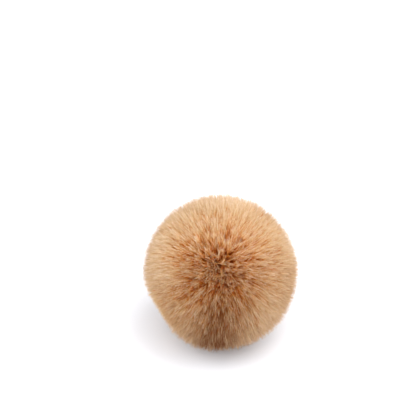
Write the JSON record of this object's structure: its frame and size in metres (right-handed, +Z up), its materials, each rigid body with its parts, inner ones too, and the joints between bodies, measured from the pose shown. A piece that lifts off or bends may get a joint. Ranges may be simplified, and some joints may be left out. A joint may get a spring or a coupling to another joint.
{
  "type": "fur pom pom",
  "caption": "Round pom pom of long-pile fur cloth, gathered into a ball with a soft, full pile all over, lying on a small flat spot.",
  "frame": {"origin": "middle of the flat spot that the ball rests on", "axes": "+Z up; the ball is the same all round, and the picture looks towards +Y and down"},
  "size_m": [0.0793, 0.0795, 0.0771],
  "materials": {
    "fur": "soft fur cloth, dark tan at the roots and pale at the tips"
  },
  "bodies": {
    "root": {"fur_ball": "fur"}
  },
  "joints": []
}
